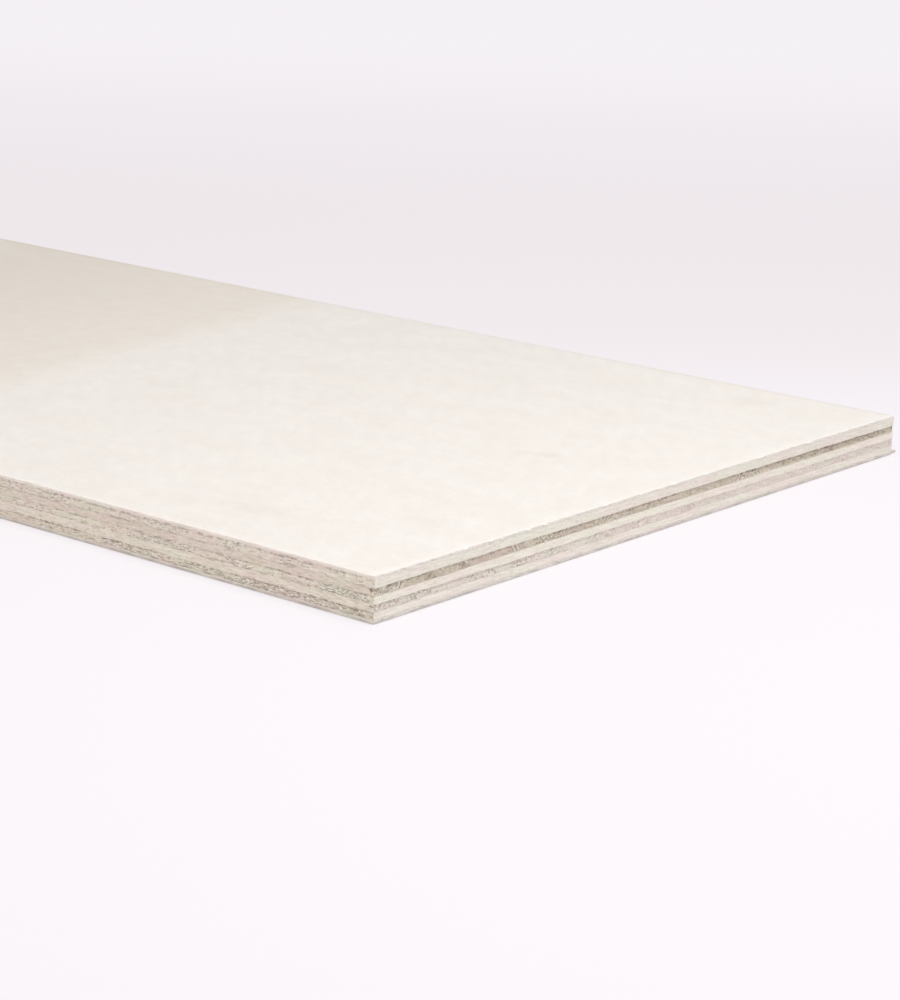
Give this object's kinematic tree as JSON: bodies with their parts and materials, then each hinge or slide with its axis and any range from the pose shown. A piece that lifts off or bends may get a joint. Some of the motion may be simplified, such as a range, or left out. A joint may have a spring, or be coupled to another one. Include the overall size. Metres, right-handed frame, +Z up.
{
  "type": "plywood sheet",
  "caption": "Flat rectangular cross-banded plywood panel with pale sanded faces and sawn edges that show the plies.",
  "frame": {"origin": "under the middle of the sheet, on the plane of its underside", "axes": "+X along the length, which is the grain of the face, +Y across the width, +Z up through the thickness to the better face"},
  "size_m": [0.6, 0.3019, 0.015],
  "materials": {
    "sanded_face": "bare poplar veneer, sanded smooth, creamy white",
    "sanded_back": "bare poplar veneer, sanded, greyer and rougher at its sawn edge",
    "cross_grain": "bare poplar, grain across the sheet, pale on the short ends and darker end grain on the long sides",
    "long_grain": "bare poplar, grain along the sheet, dark rough end grain on the short ends and pale on the long sides"
  },
  "bodies": {
    "root": {"back_veneer": "sanded_back", "lower_crossband": "cross_grain", "lower_long_ply": "long_grain", "centre_crossband": "cross_grain", "upper_long_ply": "long_grain", "upper_crossband": "cross_grain", "face_veneer": "sanded_face"}
  },
  "joints": []
}
